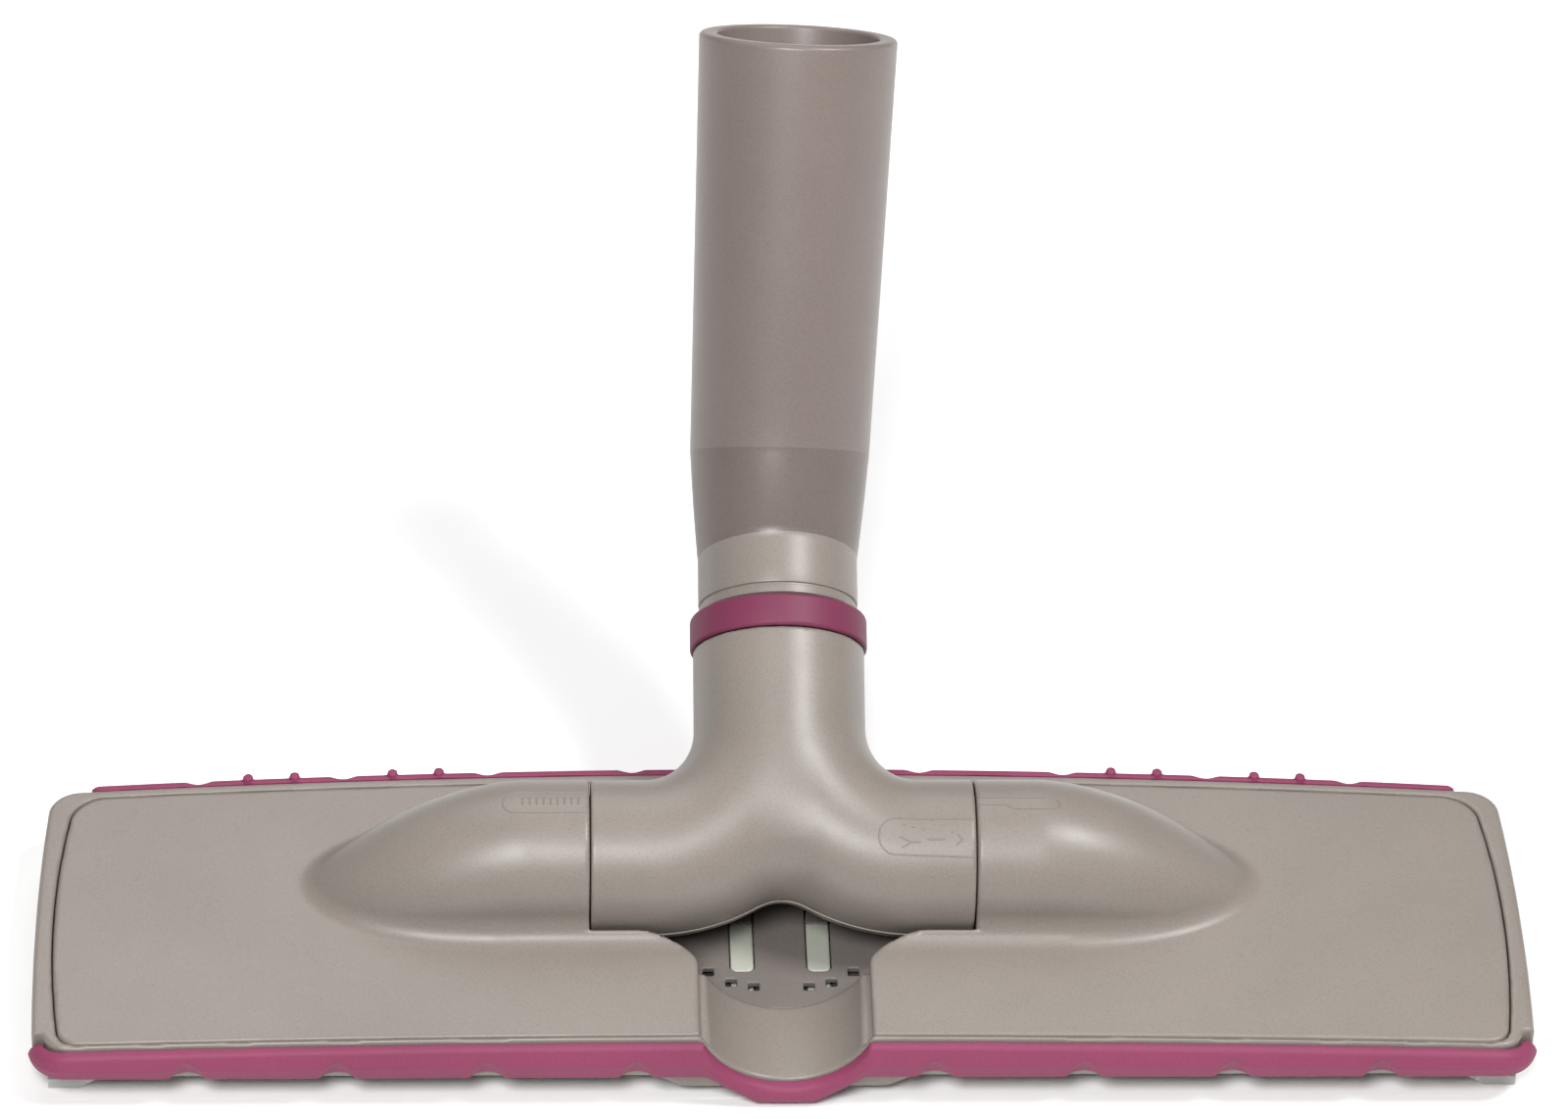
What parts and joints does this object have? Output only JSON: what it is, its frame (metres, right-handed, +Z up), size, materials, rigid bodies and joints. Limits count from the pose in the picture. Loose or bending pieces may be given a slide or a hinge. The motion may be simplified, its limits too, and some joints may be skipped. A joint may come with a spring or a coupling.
{
  "type": "vacuum cleaner floor head",
  "caption": "Wide low vacuum floor head with a tilting Y-shaped duct yoke, swivelling elbow tube for a wand, soft bumpers and a sprung brush carrier.",
  "frame": {"origin": "on the floor at the sole's underside, straight under the yoke's tilt axis, in the middle of the head", "axes": "+X along the head to its right, +Y to the rear, +Z up"},
  "size_m": [0.29, 0.1726, 0.1498],
  "materials": {
    "satin_grey": "satin",
    "magenta_soft": "satin",
    "white_acetal": "satin",
    "black_rubber": "matte",
    "steel": "satin",
    "dark_sole": "satin",
    "bristle": "fibrous",
    "felt": "velvet",
    "clear_foot": "translucent"
  },
  "bodies": {
    "head": {"base_housing": "satin_grey", "top_cover": "satin_grey", "front_bumper": "magenta_soft", "rear_bumper": "magenta_soft", "left_bearing_bush": "white_acetal", "right_bearing_bush": "white_acetal", "left_duct_seal": "black_rubber", "right_duct_seal": "black_rubber", "sole_plate": "dark_sole", "front_left_lint_strip": "felt", "front_right_lint_strip": "felt", "rear_left_lint_strip": "felt", "rear_right_lint_strip": "felt", "front_left_glide_foot": "clear_foot", "front_right_glide_foot": "clear_foot", "rear_left_glide_foot": "clear_foot", "rear_right_glide_foot": "clear_foot", "front_left_return_spring": "steel", "front_right_return_spring": "steel", "rear_left_return_spring": "steel", "rear_right_return_spring": "steel", "cover_screw_1": "steel", "cover_screw_2": "steel", "cover_screw_3": "steel", "cover_screw_4": "steel", "sole_screw_1": "steel", "sole_screw_2": "steel", "sole_screw_3": "steel", "sole_screw_4": "steel"},
    "brush": {"brush_carrier": "white_acetal", "front_left_bristles": "bristle", "front_right_bristles": "bristle", "rear_bristles": "bristle", "front_left_shoulder_pin": "steel", "front_right_shoulder_pin": "steel", "rear_left_shoulder_pin": "steel", "rear_right_shoulder_pin": "steel"},
    "yoke": {"yoke_front_shell": "satin_grey", "yoke_rear_shell": "satin_grey", "collar_ring": "magenta_soft", "swivel_clip": "white_acetal"},
    "tube": {"swivel_tube": "satin_grey", "swivel_seal": "black_rubber"}
  },
  "joints": [
    {"name": "yoke_tilt", "type": "hinge", "parent": "head", "child": "yoke", "pos_m": [0, 0, 0.022], "axis": [1, 0, 0], "range_deg": [0, 140]},
    {"name": "tube_swivel", "type": "hinge", "parent": "yoke", "child": "tube", "pos_m": [0, 0, 0.022], "axis": [0, 0.866, 0.5], "continuous": true},
    {"name": "brush_drop", "type": "slide", "parent": "head", "child": "brush", "axis": [0, 0, -1], "range_m": [0, 0.004], "stiffness_N_per_m": 400, "springref_m": -0.003, "deforming": ["front_left_return_spring", "front_right_return_spring", "rear_left_return_spring", "rear_right_return_spring"]}
  ]
}
